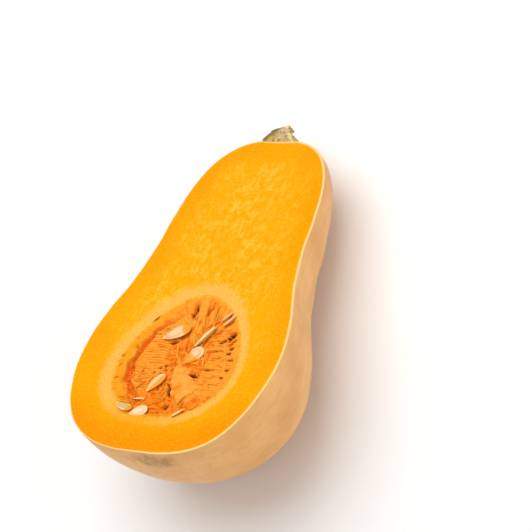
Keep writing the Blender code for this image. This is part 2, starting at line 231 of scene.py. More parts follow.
def extrude_rim(piece, moves):
    """Extrudes the selected rim once for each move, which gives a rim vertex's next place."""
    for move in moves:
        bpy.ops.mesh.extrude_edges_indiv()
        build = bmesh.from_edit_mesh(piece.data)
        for vertex in build.verts:
            if vertex.select:
                vertex.co = move(vertex.co)
        bmesh.update_edit_mesh(piece.data)


def close_rim(piece, height):
    """Gathers the selected rim in one point under the cavity's middle."""
    extrude_rim(piece, [lambda place: Vector((CAVITY_CENTRE.x, CAVITY_CENTRE.y, height))])
    bpy.ops.mesh.merge(type="CENTER")


def half_ball(name, sides, rings, keep):
    """A unit ball with its poles on Z, of which only the vertices that pass keep stay."""
    deselect()
    bpy.ops.mesh.primitive_uv_sphere_add(segments=sides, ring_count=rings, radius=1)
    ball = bpy.context.object
    ball.name = name
    ball.data.name = name
    select_where(ball, lambda vertex: not keep(vertex.co))
    bpy.ops.mesh.delete(type="VERT")
    leave_edit()
    return ball


def make_squash():
    squash = half_ball("squash_rind_and_flesh", RIND_SIDES, RIND_RINGS, lambda place: place.y < 0.0001)
    squash.data.transform(Matrix.Rotation(math.radians(90), 4, "X"))
    outline = {}
    for vertex in squash.data.vertices:
        on_rim = abs(vertex.co.z) < 0.0001
        vertex.co = rind_point(vertex.co)
        if on_rim:
            vertex.co.z = 0
            outline[cavity_angle(vertex.co)] = vertex.co.copy()
    angles = sorted(outline)

    def across_cut(row):
        share = row / FLESH_ROWS

        def move(place):
            angle = min(angles, key=lambda value: abs(value - cavity_angle(place)))
            return outline[angle].lerp(wall_point(angle, 0), share)

        return move

    select_where(squash, lambda vertex: vertex.is_boundary)
    extrude_rim(squash, [across_cut(row) for row in range(1, FLESH_ROWS + 1)])
    extrude_rim(squash, [down_wall(row) for row in range(FIRST_WALL_ROW, CAVITY_ROWS + 1)])
    close_rim(squash, CAVITY_FLOOR)
    leave_edit()
    return squash, list(outline.values())


def outward(piece):
    edit(piece)
    bpy.ops.mesh.select_all(action="SELECT")
    bpy.ops.mesh.normals_make_consistent(inside=False)
    leave_edit()


squash, cut_outline = make_squash()
outward(squash)


def densify(points, parts):
    """A closed outline with more points on each of its sides."""
    ordered = sorted(points, key=cavity_angle)
    return [a.lerp(b, i / parts) for a, b in zip(ordered, ordered[1:] + ordered[:1]) for i in range(parts)]


def distance_finder(points):
    tree = kdtree.KDTree(len(points))
    for index, point in enumerate(points):
        tree.insert(point, index)
    tree.balance()
    return lambda vertex: tree.find(Vector((vertex.co.x, vertex.co.y, 0)))[2] / MM


def ring_distance(vertex):
    """How far out of the pale ring round the cavity a place is: 0 at the mouth and 1 at the ring's end."""
    if vertex.co.z < -ON_CUT:
        return 0.0
    angle = cavity_angle(vertex.co)
    upward, sideways = math.sin(angle), math.cos(angle)
    width = RING_WIDTH + 4 * max(upward, 0) ** 2 - 1.4 * max(sideways, 0) + 3 * max(-sideways, 0)
    return to_mouth(vertex) / width


def ring_strength(vertex):
    """The ring fades where the cavity comes near the blossom end."""
    angle = math.degrees(cavity_angle(vertex.co))
    return 1 - 0.8 * math.exp(-(((angle - RING_GAP["heading"]) / RING_GAP["spread"]) ** 2))


def scar_strength(vertex):
    """The blossom scar is a rough patch on the end of the bulb, wider than it is high."""
    x, y, z = vertex.co / MM
    away = math.hypot((x - SCAR["x"]) / SCAR["wide"], (z - SCAR["z"]) / SCAR["high"])
    ragged = 0.35 * noise.noise(Vector((x, z, 0)) / 5)
    return ease(away + ragged, 1.15, 0.5) * ease(y, 30, 20)


def store(piece, name, value_of):
    """Keeps a number for each vertex on the mesh, for the materials to read."""
    values = piece.data.attributes.new(name, "FLOAT", "POINT")
    for vertex in piece.data.vertices:
        values.data[vertex.index].value = value_of(vertex)


to_skin = distance_finder(densify(cut_outline, 8))
mouth = [wall_point(2 * math.pi * i / MOUTH_POINTS, 0) for i in range(MOUTH_POINTS)]
to_mouth = distance_finder(mouth)
store(squash, "from_skin", to_skin)
store(squash, "from_cavity", ring_distance)
store(squash, "ring", ring_strength)
store(squash, "scar", scar_strength)


def paint(*shown):
    """A colour from 0 to 255 as a picture shows it, made linear."""
    shares = [value / 255 for value in shown]
    return (*(((share + 0.055) / 1.055) ** 2.4 if share > 0.04 else share / 12.92 for share in shares), 1)


def new_finish(name, sockets):
    """A material with some of its shader's numbers and colours set."""
    material = bpy.data.materials.new(name)
    material.use_nodes = True
    shader = material.node_tree.nodes["Principled BSDF"]
    for socket, value in sockets.items():
        shader.inputs[socket].default_value = value
    return material, material.node_tree, shader


def add(tree, kind, inputs=None, **settings):
    """A node with its settings, and with each input a value or another node's socket."""
    made = tree.nodes.new("ShaderNode" + kind)
    for name, value in settings.items():
        setattr(made, name, value)
    for name, value in (inputs or {}).items():
        if isinstance(value, bpy.types.NodeSocket):
            tree.links.new(value, made.inputs[name])
        else:
            made.inputs[name].default_value = value
    return made


def attribute(tree, name):
    return add(tree, "Attribute", attribute_name=name).outputs["Fac"]


def cut_place(tree, stretch=(1, 1, 1)):
    """Coordinates on the cut's axes in millimetres, stretched where a pattern runs along an axis."""
    inputs = {
        "Vector": add(tree, "TexCoord").outputs["Object"],
        "Location": CUT.translation,
        "Rotation": CUT.to_euler(),
        "Scale": [MM * value for value in stretch],
    }
    return add(tree, "Mapping", inputs, vector_type="TEXTURE").outputs["Vector"]


def parts_of(tree, place):
    """A place's three numbers: X across the cut, Y along the fruit and Z out of the cut."""
    return add(tree, "SeparateXYZ", {"Vector": place}).outputs


def grain(tree, place, size, detail=2.0, rough=0.5, twist=0.0):
    """Cloudy noise whose blobs are about size millimetres across."""
    inputs = {"Vector": place, "Scale": 1 / size, "Detail": detail, "Roughness": rough, "Distortion": twist}
    return add(tree, "TexNoise", inputs).outputs["Fac"]


def spots(tree, place, size):
    """The distance to the nearest of many points that lie about size millimetres apart."""
    return add(tree, "TexVoronoi", {"Vector": place, "Scale": 1 / size}).outputs["Distance"]


def between(tree, value, low, high, to_low=0.0, to_high=1.0):
    """A value eased from one range to another."""
    inputs = {"Value": value, "From Min": low, "From Max": high, "To Min": to_low, "To Max": to_high}
    return add(tree, "MapRange", inputs, interpolation_type="SMOOTHSTEP").outputs["Result"]


def math_node(tree, operation, first, second=0.0, third=0.0):
    return add(tree, "Math", {0: first, 1: second, 2: third}, operation=operation).outputs[0]


def product(tree, first, second):
    return math_node(tree, "MULTIPLY", first, second)


def blend(tree, share, first, second):
    """The first colour where the share is 0 and the second where it is 1."""
    return add(tree, "Mix", {0: share, 6: first, 7: second}, data_type="RGBA").outputs[2]


def layer(tree, tone, colour, value, low, high, most=1.0):
    """Lays a colour over a tone where a value passes from low to high, up to a share of most."""
    return blend(tree, between(tree, value, low, high, 0, most), tone, colour)


def bump(tree, shader, height, distance, strength, under=None):
    """Fine relief, on top of an earlier one if that is given."""
    made = add(tree, "Bump", {"Height": height, "Distance": distance, "Strength": strength})
    if under is not None:
        tree.links.new(under, made.inputs["Normal"])
    tree.links.new(made.outputs["Normal"], shader.inputs["Normal"])
    return made.outputs["Normal"]


RIND_TAN = paint(232, 168, 98)
RIND_WARM = paint(246, 187, 116)
RIND_STREAK = paint(214, 148, 78)
RIND_PALE = paint(248, 196, 126)
RIND_FLECK = paint(240, 196, 140)
RIND_SPECK = paint(168, 108, 60)
SCRATCH_BROWN = paint(150, 98, 58)
SCAR_CORK = paint(190, 140, 82)
SCAR_LINE = paint(136, 92, 54)


def rind_finish():
    """Waxy tan rind: cloudy warm patches, streaks along the fruit, pale flecks, scratches and the scar."""
    wax = {"Roughness": 0.5, "Specular IOR Level": 0.3, "Coat Weight": 0.06, "Coat Roughness": 0.4}
    material, tree, shader = new_finish("rind", wax)
    place = cut_place(tree)
    tone = blend(tree, between(tree, grain(tree, place, 34), 0.3, 0.7), RIND_TAN, RIND_WARM)
    streaks = grain(tree, cut_place(tree, (1, 7, 1)), 4.5, 3, 0.6)
    tone = layer(tree, tone, RIND_STREAK, streaks, 0.45, 0.75, 0.32)
    tone = layer(tree, tone, RIND_PALE, streaks, 0.4, 0.2, 0.5)
    tone = layer(tree, tone, RIND_FLECK, spots(tree, place, 2.6), 0.24, 0.08, 0.35)
    tone = layer(tree, tone, RIND_SPECK, spots(tree, place, 6.5), 0.1, 0.05, 0.35)
    hair_lines = between(tree, grain(tree, cut_place(tree, (0.4, 9, 0.4)), 1.6, 1, 0.4), 0.71, 0.76, 0, 0.7)
    sparse = between(tree, grain(tree, place, 17, 1, 0.4), 0.57, 0.66)
    tone = blend(tree, product(tree, hair_lines, sparse), tone, SCRATCH_BROWN)
    scar = attribute(tree, "scar")
    rough_spots = between(tree, grain(tree, cut_place(tree, (2, 1, 1)), 2.6, 4, 0.7), 0.3, 0.62, 0.25)
    tone = blend(tree, product(tree, scar, rough_spots), tone, SCAR_CORK)
    cork_lines = between(tree, grain(tree, cut_place(tree, (3, 1, 1)), 0.9), 0.55, 0.65, 0, 0.6)
    tone = blend(tree, product(tree, scar, cork_lines), tone, SCAR_LINE)
    tree.links.new(tone, shader.inputs["Base Color"])
    soft = bump(tree, shader, grain(tree, cut_place(tree, (1, 5, 1)), 7), 0.0008, 0.35)
    bump(tree, shader, grain(tree, place, 1.1, 3, 0.6), 0.00025, 0.4, soft)
    return material


FLESH_ORANGE = paint(240, 153, 0)
FLESH_GOLD = paint(240, 160, 1)
FLESH_DEEP = paint(240, 138, 0)
FLESH_INNER = paint(238, 166, 0)
FLESH_PALE = paint(242, 190, 60)
FLESH_SPECKLE = paint(241, 184, 44)
FLESH_SHADE = paint(239, 144, 0)
RING_PALE = paint(241, 182, 86)
RIND_LINE = paint(246, 210, 138)


def flesh_finish():
    """Moist orange flesh: pale streaks up the neck, a pale ring round the cavity, a pale line at the rind."""
    moist = {
        "Roughness": 0.5,
        "Specular IOR Level": 0.04,
        "Specular Tint": paint(255, 190, 60),
        "Subsurface Weight": 0.1,
        "Subsurface Radius": (1.0, 0.45, 0.1),
        "Subsurface Scale": 0.002,
    }
    material, tree, shader = new_finish("flesh", moist)
    place = cut_place(tree)
    across, along, _ = parts_of(tree, place)
    skin = attribute(tree, "from_skin")
    tone = blend(tree, between(tree, grain(tree, place, 30), 0.35, 0.65), FLESH_ORANGE, FLESH_GOLD)
    tone = layer(tree, tone, FLESH_DEEP, along, 44, 16, 0.9)
    inner = between(tree, math_node(tree, "MULTIPLY_ADD", grain(tree, place, 14), 14, skin), 12, 32)
    inner = product(tree, inner, between(tree, along, 231, 214, 0.1))
    tone = blend(tree, product(tree, inner, 0.7), tone, FLESH_INNER)
    blotches = grain(tree, cut_place(tree, (1, 1.8, 1)), 4.2, 7, 0.7, 0.1)
    streaked = between(tree, grain(tree, cut_place(tree, (1, 1.6, 1)), 17, 3, 0.6), 0.36, 0.6, 0.25)
    up_neck = product(tree, streaked, between(tree, along, 45, 115, 0.1))
    pale = product(tree, product(tree, between(tree, blotches, 0.44, 0.62), inner), up_neck)
    tone = blend(tree, pale, tone, FLESH_PALE)
    speckle = grain(tree, place, 1.5, 5, 0.8)
    tone = layer(tree, tone, FLESH_SPECKLE, speckle, 0.52, 0.64, 0.65)
    tone = layer(tree, tone, FLESH_SHADE, speckle, 0.48, 0.37, 0.9)
    cavity = attribute(tree, "from_cavity")
    ring_end = math_node(tree, "MULTIPLY_ADD", grain(tree, place, 5, 6, 0.8), 1.4, cavity)
    ring = product(tree, between(tree, ring_end, 1.85, 1.25), attribute(tree, "ring"))
    grainy = between(tree, grain(tree, place, 1.6, 5, 0.8), 0.4, 0.56, 0.3)
    tone = blend(tree, product(tree, ring, grainy), tone, RING_PALE)
    line = math_node(tree, "DIVIDE", skin, between(tree, across, -40, 35, 0.7, 1.8))
    tone = layer(tree, tone, RIND_LINE, line, 1.1, 0.5, 0.95)
    tree.links.new(tone, shader.inputs["Base Color"])
    low = bump(tree, shader, grain(tree, place, 1.3, 3, 0.7), 0.0006, 0.7)
    bump(tree, shader, spots(tree, place, 1.6), 0.0003, 0.4, low)
    return material


def is_flesh(face, mesh):
    """Whether a face lies on the cut or on the cavity's wall."""
    places = [mesh.vertices[index].co for index in face.vertices]
    if all(abs(place.z) < ON_CUT for place in places):
        return True
    middle = sum(places, Vector()) / len(places)
    inside = math.hypot(middle.x - CAVITY_CENTRE.x, middle.y - CAVITY_CENTRE.y)
    reach = cavity_reach(cavity_angle(middle), min(middle.z, 0))
    return inside < reach + 0.5 * MM and middle.z > CAVITY_FLOOR - MM


def settle(piece):
    """Turns a piece from the cut's axes to its place in the frame and lets nothing sink into the floor."""
    piece.data.transform(CUT)
    for vertex in piece.data.vertices:
        vertex.co.z = max(vertex.co.z, 0)
    piece.data.update()


def smooth(piece, angle):
    select_only(piece)
    bpy.ops.object.shade_smooth_by_angle(angle=math.radians(angle))


squash.data.materials.append(rind_finish())
squash.data.materials.append(flesh_finish())
for face in squash.data.polygons:
    face.material_index = int(is_flesh(face, squash.data))
select_where(squash, lambda vertex: abs(vertex.co.z) < ON_CUT and to_skin(vertex) < 0.05)
bpy.ops.mesh.bevel(offset=EDGE_ROUNDING, segments=2, affect="EDGES")
leave_edit()
settle(squash)
smooth(squash, 50)
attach(squash, "root")
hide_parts("squash_half")

# Seed pulp
# The stringy core of the fruit, grown from the cavity's wall: a lumpy orange bed whose fibres run in
# from both sides like a comb, fan out at the top, and curl among the seeds at the bottom.
BED_SIDES = 480
BED_RINGS = 184
WALL_CLEARANCE = 0.03 * MM
RIM_DROP = 0.04
BED_DROP = 0.86
BOTTOM_DROP = 1.6
GROOVE_DEPTH = 3
FIBRE_DEPTH = 1.4
TOP_HOLLOW = {"x": -15, "y": 103, "wide": 8, "long": 6, "deep": 1.5}
FAN_MEETS = Vector((8, 71, 0)) * MM
COMB_PITCH = 1.85
PLACENTA = {"x": 10, "y": 50.5, "wide": 7.4, "long": 16.5, "lean": 31, "taper": 0.4}

# The dark gaps between fibres, in millimetres and degrees: x, y, length, width, heading and depth
PITS = (
    (29.5, 86.1, 2.9, 1.6, 40, 6),
    (25, 81.5, 2.3, 1, 47, 6),
    (29.2, 82.8, 1.3, 0.6, 40, 5),
    (32.5, 82.1, 1.6, 0.8, 40, 5),
    (30.9, 79.4, 1.3, 0.7, 20, 5),
    (32.8, 76.8, 1.4, 0.8, 10, 5),
    (32.1, 73.1, 1.4, 0.8, 0, 4.5),
    (35.3, 68.5, 1.5, 0.8, 0, 5),
    (36, 61.1, 1.5, 0.7, 0, 4.5),
    (34.5, 55.5, 1.2, 0.7, 0, 4),
    (24, 74.2, 4.2, 0.5, 3, 3.5),
    (24, 60.7, 4.5, 0.55, 0, 3.5),
    (15.3, 55.9, 3, 0.9, -12, 5),
    (16.1, 38.8, 4.6, 0.7, 46, 4.5),
    (3.1, 44.6, 3.8, 0.9, 112, 5),
    (4.8, 33.9, 1.6, 0.9, 50, 4),
    (-7.9, 79.4, 3.2, 0.9, 14, 4),
    (-3.8, 100.6, 1.8, 0.9, 130, 5),
    (-3.4, 105, 4.2, 1.4, 97, 2.6),
    (7.6, 104.5, 4.4, 1.1, 62, 2),
    (-27.5, 95.5, 2.6, 0.7, 62, 1.7),
    (-32.3, 75.1, 2.4, 0.9, 115, 1.8),
    (-29.8, 64.2, 4.2, 0.9, 76, 2.6),
    (-28.7, 52.5, 2.4, 0.8, 80, 2.4),
    (-38.2, 67.9, 1.4, 0.6, 70, 2),
    (-37.8, 61, 1.5, 0.6, 60, 1.8),
    (-36.6, 51.5, 1.3, 0.7, 20, 2.2),
    (-9.7, 60.3, 1.2, 0.6, 20, 3.5),
    (-6.5, 62.3, 1, 0.6, 0, 3.5),
    (-12.2, 56.6, 1.2, 0.5, 30, 3),
    (-5, 58.8, 1.1, 0.5, 0, 3),
    (7, 46, 4.6, 0.5, 32, 1.4),
)
PIT_REACH = 12


def mouth_share(place):
    """0 at the cavity's middle and 1 at its rim."""
    turn = cavity_angle(place) / (2 * math.pi) * MOUTH_POINTS
    step = int(turn)
    rim = mouth[step % MOUTH_POINTS].lerp(mouth[(step + 1) % MOUTH_POINTS], turn - step)
    away = math.hypot(place.x - CAVITY_CENTRE.x, place.y - CAVITY_CENTRE.y)
    return away / (rim - CAVITY_CENTRE).xy.length


def ruffle(x, y, size, layer=0):
    """Cloudy noise from -1 to 1 whose blobs are about size millimetres across."""
    return noise.noise(Vector((x / size, y / size, layer)))


def ridges(value, roundness):
    """Broad ridges with sharp valleys, one for each whole number; flatter for a small roundness."""
    return (1 - (2 * (value % 1) - 1) ** 2) ** roundness


def placenta_share(x, y):
    """1 in the middle of the smooth patch where the seeds were joined, and 0 outside it."""
    lean = math.radians(PLACENTA["lean"])
    dx, dy = x - PLACENTA["x"], y - PLACENTA["y"]
    along = (dy * math.cos(lean) - dx * math.sin(lean)) / PLACENTA["long"]
    across = (dx * math.cos(lean) + dy * math.sin(lean)) / PLACENTA["wide"]
    across /= 1 - PLACENTA["taper"] * along
    away = (abs(along) ** 2.4 + abs(across) ** 2.4) ** (1 / 2.4)
    return ease(away + 0.26 * ruffle(x, y, 4.5, 4) + 0.12 * ruffle(x, y, 1.4, 14), 1.08, 0.8)


def side_of_bed(x, y):
    """1 where the fibres lie across the fruit like a comb's teeth."""
    left = ease(x, -7, -11)
    right = ease(x, 18, 22)
    return max(left, right) * ease(y, 40, 47) * ease(y + 0.25 * abs(x), 106, 98)


def fan_of_bed(y):
    """1 where the fibres fan out to the top of the cavity."""
    return ease(y, 78, 90)


def fibre_relief(x, y):
    """How far fibres stand up at a place, from 0 to 1."""
    drift = ruffle(x, y, 9, 3)
    comb_at = side_of_bed(x, y) * (1 - fan_of_bed(y) * ease(x, -12, -6))
    fan_at = fan_of_bed(y) * (1 - comb_at)
    comb = ridges((y + 0.06 * x) / COMB_PITCH + 0.5 * drift + 0.16 * ruffle(x, y, 2.6, 1), 0.28)
    heading = math.atan2(y - FAN_MEETS.y / MM + 14, x - FAN_MEETS.x / MM)
    fan = 0.75 * ridges(heading * 5 + 0.8 * drift, 1.1) + 0.25 * ridges(heading * 13 + 0.5 * drift, 0.7)
    curl = 1 - abs(ruffle(x, y, 3.6, 7)) * 2.4
    knots = 1 - abs(ruffle(x, y, 1.7, 5)) * 2
    tangle = max(0, 0.5 * curl + 0.5 * knots)
    gaps = 0.38 + 0.52 * ease(x, -9, -2)
    return tangle * (1 - comb_at - fan_at) + comb * comb_at + (1 - gaps * (1 - fan)) * fan_at


def pit_share(x, y):
    """How deep a dark gap is at a place, in millimetres."""
    deepest = 0
    for middle_x, middle_y, length, width, heading, depth in PITS:
        dx, dy = x - middle_x, y - middle_y
        if abs(dx) > PIT_REACH or abs(dy) > PIT_REACH:
            continue
        turn = math.radians(heading)
        along = (dx * math.cos(turn) + dy * math.sin(turn)) / length
        across = (dy * math.cos(turn) - dx * math.sin(turn)) / width
        deepest = max(deepest, depth * math.exp(-((along * along + across * across) ** 1.4)))
    return deepest


def groove_share(x, y):
    """1 in the crescent gap along the left side, where the pulp has shrunk away from the flesh."""
    place = Vector((x, y, 0)) * MM
    angle = cavity_angle(place)
    left = ease(-math.cos(angle), 0.3, 0.75)
    if left == 0:
        return 0
    centre = 0.765 + 0.05 * ruffle(x, y, 6, 9)
    width = 0.048 + 0.04 * ruffle(x, y, 8, 10)
    return left * math.exp(-(((mouth_share(place) - centre) / width) ** 4))


def bottom_of_bed(x, y):
    """1 in the loose, deeper pulp at the bottom of the cavity."""
    return ease(y + 0.15 * x, 45, 37)


def bed_height(x, y):
    """The bed's surface below the cut, in millimetres."""
    share = mouth_share(Vector((x, y, 0)) * MM)
    inside = ease(share, 1.0, 0.84)
    smooth_patch = placenta_share(x, y)
    bottom = bottom_of_bed(x, y) * inside
    dx, dy = (x - TOP_HOLLOW["x"]) / TOP_HOLLOW["wide"], (y - TOP_HOLLOW["y"]) / TOP_HOLLOW["long"]
    hollow = TOP_HOLLOW["deep"] * (math.exp(-(dx**2) - dy**2) * inside)
    height = -RIM_DROP - BED_DROP * inside - BOTTOM_DROP * bottom - hollow
    groove = groove_share(x, y)
    height -= groove * (GROOVE_DEPTH + 1.2 * ruffle(x, y, 3, 8))
    depth = FIBRE_DEPTH + 0.4 * bottom
    roughness = ease(share, 1.0, 0.94) * (1 - 0.9 * smooth_patch) * (0.35 + 0.65 * inside)
    height += (fibre_relief(x, y) - 0.6) * depth * roughness
    height += 0.7 * ruffle(x, y, 7) * inside
    height -= 0.8 * max(0, ruffle(x, y, 1.8, 6) - 0.1) * ease(share, 1.0, 0.96) * (1 - inside)
    height += (1.1 + 0.7 * ruffle(x, y, 5, 12) + 0.25 * ruffle(x, y, 1.5, 13)) * smooth_patch
    height -= pit_share(x, y)
    return min(height, -RIM_DROP)


def make_bed():
    bed = half_ball("pulp_bed", BED_SIDES, BED_RINGS, lambda place: place.z > -0.0001)
    mouth_reach = {}
    for vertex in bed.data.vertices:
        share = 1 - math.asin(min(max(vertex.co.z, 0), 1)) / (math.pi / 2)
        angle = math.atan2(vertex.co.y, vertex.co.x)
        key = round(angle, 5)
        if key not in mouth_reach:
            mouth_reach[key] = cavity_reach(angle, 0, WALL_CLEARANCE)
        x = CAVITY_CENTRE.x + share * mouth_reach[key] * math.cos(angle)
        y = CAVITY_CENTRE.y + share * mouth_reach[key] * math.sin(angle)
        vertex.co = Vector((x, y, bed_height(x / MM, y / MM) * MM))

    select_where(bed, lambda vertex: vertex.is_boundary)
    rows = range(FIRST_WALL_ROW, CAVITY_ROWS + 1)
    extrude_rim(bed, [down_wall(row, -MM, WALL_CLEARANCE) for row in rows])
    close_rim(bed, CAVITY_FLOOR + MM)
    leave_edit()
    return bed


bed = make_bed()
outward(bed)


PULP_PATCH = paint(243, 158, 58)
PULP_DEEP_PATCH = paint(234, 112, 4)
PULP_LOOSE = paint(243, 132, 8)
PULP_GROOVE = paint(226, 92, 2)
PLACENTA_TONES = paint(240, 146, 40), paint(243, 170, 72)
# Painted glint and painted crease shade, laid as paler and darker specks on fine noise.
PULP_PAINTED_GLINT = paint(246, 180, 84)
PULP_CREASE_SHADE = paint(226, 100, 4)
PULP_RIM = paint(240, 156, 22)
PULP_MOUTH = paint(241, 176, 76)
# The bed's pale, middle and gap tones: the near-black gap tone is painted shade for the deep gaps between
# fibres.
BED_TONES = paint(244, 158, 46), paint(228, 102, 3), paint(88, 14, 1)


def pulp_finish(name, pale, middle, deep):
    """Moist fibres, paler on their ridges and darker in their valleys, partly their own tone and partly
    painted light and shade, with dark painted shade down in the gaps.
    """
    wet = {
        "Roughness": 0.42,
        "Specular IOR Level": 0.25,
        "Specular Tint": paint(255, 170, 60),
        "Subsurface Weight": 0.15,
        "Subsurface Radius": (1.0, 0.4, 0.08),
        "Subsurface Scale": 0.001,
        "Coat Weight": 0.03,
        "Coat Roughness": 0.15,
    }
    material, tree, shader = new_finish(name, wet)
    place = cut_place(tree)
    patches = grain(tree, place, 6, 3, 0.6)
    # Paler on the fibres' tops and darker in the valleys between them. On the bed the ridge share is the
    # relief, so this is partly the fibres' own tone and partly painted light and shade; on the loose strands
    # it is random.
    tone = blend(tree, between(tree, attribute(tree, "ridge"), 0.25, 0.95), middle, pale)
    tone = layer(tree, tone, PULP_PATCH, patches, 0.5, 0.7, 0.5)
    tone = layer(tree, tone, PULP_DEEP_PATCH, patches, 0.48, 0.3, 0.7)
    tone = blend(tree, product(tree, attribute(tree, "bottom"), 0.7), tone, PULP_LOOSE)
    tone = blend(tree, product(tree, attribute(tree, "groove"), 0.9), tone, PULP_GROOVE)
    smooth_tone = blend(tree, between(tree, patches, 0.35, 0.65), *PLACENTA_TONES)
    tone = blend(tree, product(tree, attribute(tree, "placenta"), 0.9), tone, smooth_tone)
    fine = grain(tree, place, 1.1, 4, 0.65)
    # Painted glints and painted crease shade: paler and darker specks on fine noise that stand in for small
    # highlights and for shade in creases.
    tone = layer(tree, tone, PULP_PAINTED_GLINT, fine, 0.54, 0.7, 0.5)
    tone = layer(tree, tone, PULP_CREASE_SHADE, fine, 0.44, 0.3, 0.5)
    # The deeper a gap between fibres, the more of the dark gap tone it gets, as painted shade.
    for part, colour in (("rim", PULP_RIM), ("mouth", PULP_MOUTH), ("pit", deep)):
        tone = blend(tree, attribute(tree, part), tone, colour)
    tree.links.new(tone, shader.inputs["Base Color"])
    bump(tree, shader, grain(tree, cut_place(tree, (2.5, 1, 1)), 0.9, 3, 0.6), 0.0006, 0.7)
    return material


def flat_place(vertex):
    return vertex.co.x / MM, vertex.co.y / MM


def rim_share(vertex):
    """1 where the pulp is still flesh-coloured, near the cavity's rim."""
    x, y = flat_place(vertex)
    left = ease(-math.cos(cavity_angle(vertex.co)), 0.3, 0.75)
    start = 0.9 - 0.08 * left + 0.07 * ruffle(x, y, 2.5, 11)
    return ease(mouth_share(vertex.co), start, start + 0.07)


def edge_share(vertex):
    """1 at the very rim, which has the colour of the pale ring round it."""
    x, y = flat_place(vertex)
    return ease(mouth_share(vertex.co) + 0.03 * ruffle(x, y, 2, 15), 0.96, 1.0) * ring_strength(vertex)


def store_parts(piece, **parts):
    """Keeps how much of each part of the pulp each vertex has: none where a part isn't given."""
    for name in ("ridge", "placenta", "bottom", "groove", "pit"):
        share = parts.get(name, lambda x, y: 0.0)
        store(piece, name, lambda vertex: share(*flat_place(vertex)))
    store(piece, "rim", rim_share)
    store(piece, "mouth", edge_share)


store_parts(
    bed,
    ridge=fibre_relief,
    placenta=placenta_share,
    bottom=bottom_of_bed,
    groove=groove_share,
    # Painted shade: the deeper a gap between fibres, the more of the dark gap tone.
    pit=lambda x, y: ease(pit_share(x, y), 0.6, 2.8),
)
bed.data.materials.append(pulp_finish("pulp", *BED_TONES))
settle(bed)
smooth(bed, 60)
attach(bed, "root")
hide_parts("seed_pulp")

# Pulp fibres
# Loose strands that stand clear of the bed: long ones that fan from the top of the cavity to its
# middle, combs of short ones from both sides, a tangle at the bottom, and torn ends round the rim.
FIBRE_RADIUS = 0.5 * MM
FIBRE_ROUNDNESS = 1
FIBRE_WELD = 0.00001
FAN_FIBRES = 13
COMB_SPACING = 4.4
COMB_ROWS = ((-1, 46, 92), (1, 46, 80))
TANGLE_FIBRES = 70
RIM_FIBRES = 26
STRAND_LIFT = 0.3
STRAND_SINK = 0.3
# The third strand tone is a painted gap shade, which the loose strands never get because they have no gaps.
STRAND_TONES = paint(243, 168, 58), paint(240, 144, 24), paint(190, 80, 12)

# Each thick strand's radius in fibre radii, and the places on the cut that it runs through
MAIN_STRANDS = (
    (1.5, ((-10, 112), (-8, 104), (-3.5, 96.5), (0.3, 89.7), (1, 84.4))),
    (2.0, ((-2.5, 112.5), (0.7, 102.8), (2.4, 93.2), (3.8, 86.3), (5.6, 79.4))),
    (2.2, ((4.5, 113.4), (4.3, 105.5), (5.3, 98.6), (7, 90), (7.5, 81.2))),
    (1.3, ((9, 110), (8.5, 101), (9, 92), (9.5, 86))),
    (1.8, ((-5.2, 82.5), (-4.2, 79), (-3.2, 74), (-1.7, 69.5), (0.5, 66.1))),
    (1.2, ((6.7, 76.8), (5.3, 69.8), (2.9, 66.2))),
    (1.4, ((13.7, 79), (16, 73), (18, 66), (20.2, 59))),
    (2.2, ((27.4, 80), (29.2, 75), (31.4, 70), (33.6, 64), (34.6, 57))),
    (1.3, ((3, 39.1), (7.6, 38.6), (11.2, 34.8), (10.4, 31.2), (7, 30), (3.6, 31.6))),
    (1.2, ((-14, 44.5), (-8, 43), (-3, 42.2), (1, 38), (2, 33))),
    (1.3, ((20.5, 46), (19.6, 41.5), (15.4, 36.5), (12, 33.6))),
    (1.2, ((-22, 40), (-17, 36.5), (-11, 34.5), (-5, 35.4))),
)


def fibre_splines(points, radius):
    """Adds one tapering strand, given as (x, y, lift above the bed) in millimetres."""
    spline = fibres.splines.new("POLY")
    spline.points.add(len(points) - 1)
    last = len(points) - 1
    for index, (x, y, lift) in enumerate(points):
        spline.points[index].co = (x * MM, y * MM, (bed_height(x, y) + lift) * MM, 1)
        spline.points[index].radius = radius * (0.45 + 0.55 * math.sin(math.pi * (0.15 + 0.7 * index / last)))


def smooth_step(before, start, end, after, part):
    """A number on the smooth curve from start to end that also heads for its neighbours."""
    bend = (2 * before - 5 * start + 4 * end - after) * part**2
    turn = (3 * start - before - 3 * end + after) * part**3
    return 0.5 * (2 * start + (end - before) * part + bend + turn)


def main_strand(radius, through):
    """One of the thick pale strands, smoothed through its points."""
    ends = [through[0], *through, through[-1]]
    lift = STRAND_LIFT - STRAND_SINK * radius
    points = []
    for corners in zip(ends, ends[1:], ends[2:], ends[3:]):
        for step in range(6):
            points.append((*(smooth_step(*sides, step / 6) for sides in zip(*corners)), lift))
    points.append((*ends[-1], lift))
    fibre_splines(points, radius)


def from_middle(angle, reach):
    """A place on the cut in millimetres, in one direction from the cavity's middle."""
    return CAVITY_CENTRE.x / MM + reach * math.cos(angle), CAVITY_CENTRE.y / MM + reach * math.sin(angle)


def fan_fibre(draw, number):
    share = (number + draw.uniform(-0.3, 0.3)) / (FAN_FIBRES - 1)
    angle = math.radians(118 - 98 * share)
    reach = cavity_reach(angle, 0) / MM * draw.uniform(0.82, 0.95)
    start = from_middle(angle, reach)
    end = (FAN_MEETS.x / MM + draw.uniform(-7, 6), FAN_MEETS.y / MM + draw.uniform(0, 14))
    bow = draw.uniform(-2.5, 2.5)
    lift = draw.uniform(0, 0.5)
    points = []
    for step in range(9):
        part = step / 8
        wave = math.sin(math.pi * part)
        x = start[0] + (end[0] - start[0]) * part + bow * wave
        y = start[1] + (end[1] - start[1]) * part
        points.append((x, y, 0.1 + lift * wave))
    fibre_splines(points, draw.uniform(0.5, 1.0))


